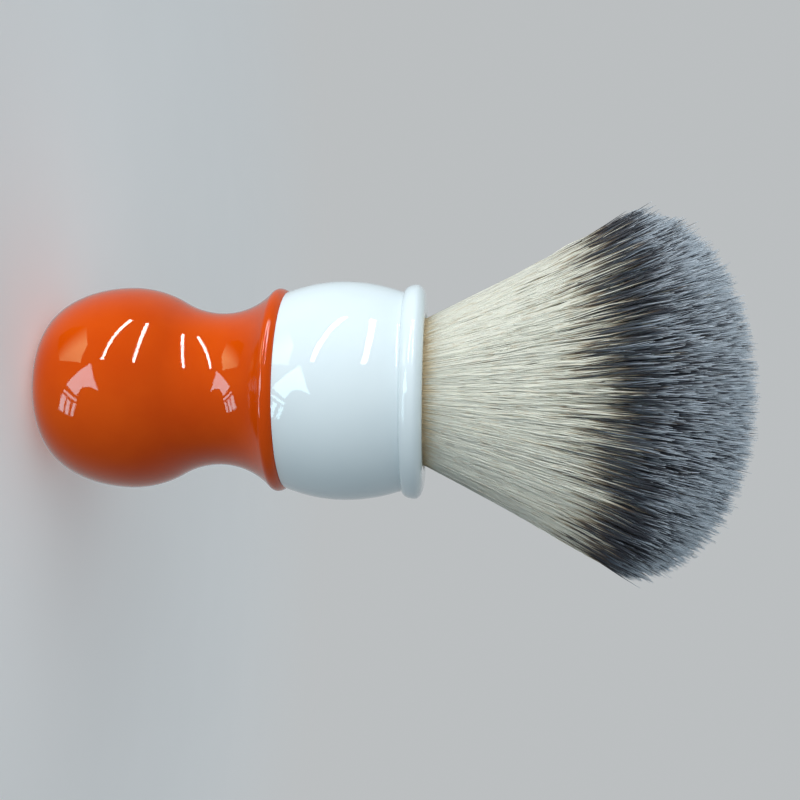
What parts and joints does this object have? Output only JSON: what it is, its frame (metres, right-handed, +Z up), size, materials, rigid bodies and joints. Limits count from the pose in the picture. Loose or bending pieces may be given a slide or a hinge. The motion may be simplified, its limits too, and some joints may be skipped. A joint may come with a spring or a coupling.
{
  "type": "shaving brush",
  "caption": "Standing wet-shaving brush: turned two-colour resin handle with a round bulb, waist and beaded barrel, holding a fan-shaped, domed knot of synthetic fibre in a socket.",
  "frame": {"origin": "centre of the flat foot, on the surface that the brush stands on", "axes": "+Z runs up the turning axis from the foot to the tips; +X and +Y are square to it, and the brush is round about +Z"},
  "size_m": [0.0596, 0.0596, 0.1114],
  "materials": {
    "orange_resin": "polished cast resin, saturated orange",
    "white_resin": "polished cast resin, cool white",
    "cast_resin": "cast plug that binds the fibre roots, not polished",
    "fibre": "fine synthetic fibre, cream at the root, then a dark band, with silver-grey tips"
  },
  "bodies": {
    "root": {"lower_handle": "orange_resin", "upper_handle": "white_resin", "knot_plug": "cast_resin", "bristles_front": "fibre", "bristles_right": "fibre", "bristles_back": "fibre", "bristles_left": "fibre"}
  },
  "joints": []
}
